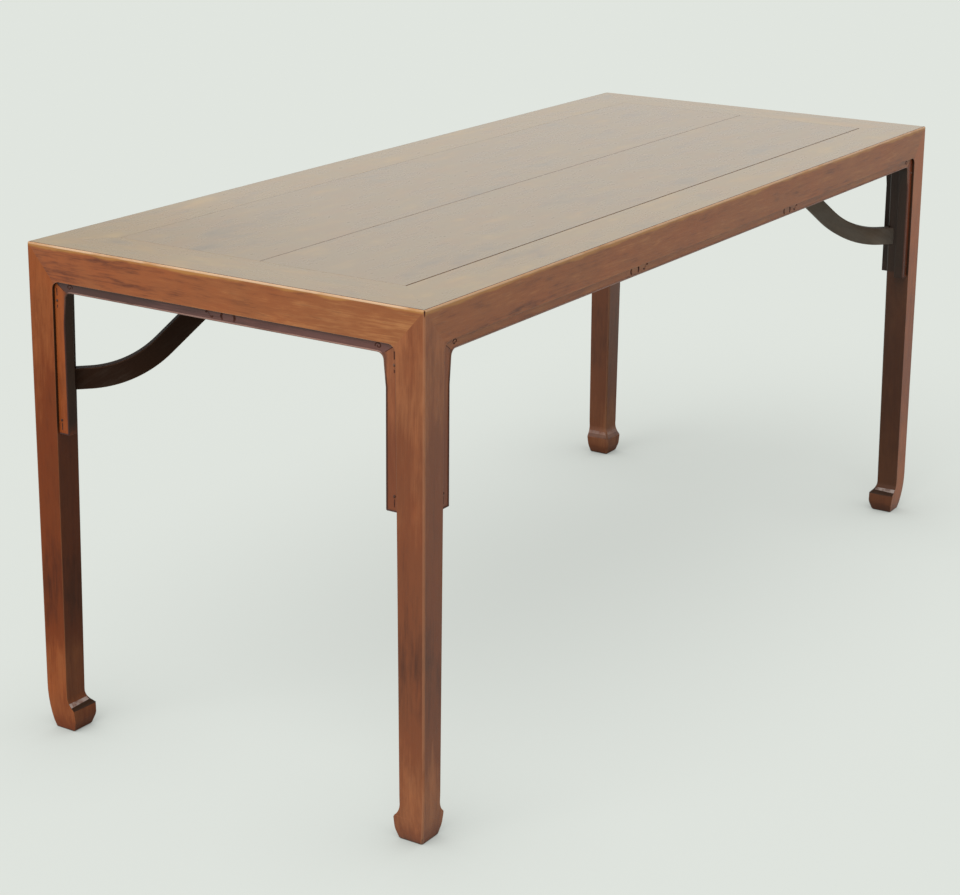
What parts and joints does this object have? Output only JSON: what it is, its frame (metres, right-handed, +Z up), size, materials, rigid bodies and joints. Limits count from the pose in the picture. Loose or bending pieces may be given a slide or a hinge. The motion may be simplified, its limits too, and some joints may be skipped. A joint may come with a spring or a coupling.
{
  "type": "painting table",
  "caption": "Long hardwood painting table: mitred frame top with a floating panel, flush corner legs on hoof feet, thin aprons, long spandrel strips and curved corner braces.",
  "frame": {"origin": "on the floor, under the middle of the top", "axes": "+X along the table's length, +Y across it towards the back, +Z up"},
  "size_m": [1.83, 0.758, 0.83],
  "materials": {
    "top_frame": "waxed, worn edges",
    "panel": "waxed, worn by use",
    "leg": "waxed, worn edges",
    "inner_frame": "waxed",
    "brace": "dark waxed",
    "batten": "planed, unpolished",
    "peg": "planed, unpolished"
  },
  "bodies": {
    "root": {"front_rail": "top_frame", "front_apron": "inner_frame", "front_strip_left": "inner_frame", "front_strip_right": "inner_frame", "right_rail": "top_frame", "right_apron": "inner_frame", "right_strip_front": "inner_frame", "right_strip_back": "inner_frame", "back_rail": "top_frame", "back_apron": "inner_frame", "back_strip_right": "inner_frame", "back_strip_left": "inner_frame", "left_rail": "top_frame", "left_apron": "inner_frame", "left_strip_back": "inner_frame", "left_strip_front": "inner_frame", "front_board": "panel", "back_board": "panel", "left_batten": "batten", "middle_left_batten": "batten", "middle_right_batten": "batten", "right_batten": "batten", "front_left_leg": "leg", "front_left_brace": "brace", "front_right_leg": "leg", "front_right_brace": "brace", "back_right_leg": "leg", "back_right_brace": "brace", "back_left_leg": "leg", "back_left_brace": "brace", "brace_wedges": "peg", "brace_pins": "peg"}
  },
  "joints": []
}
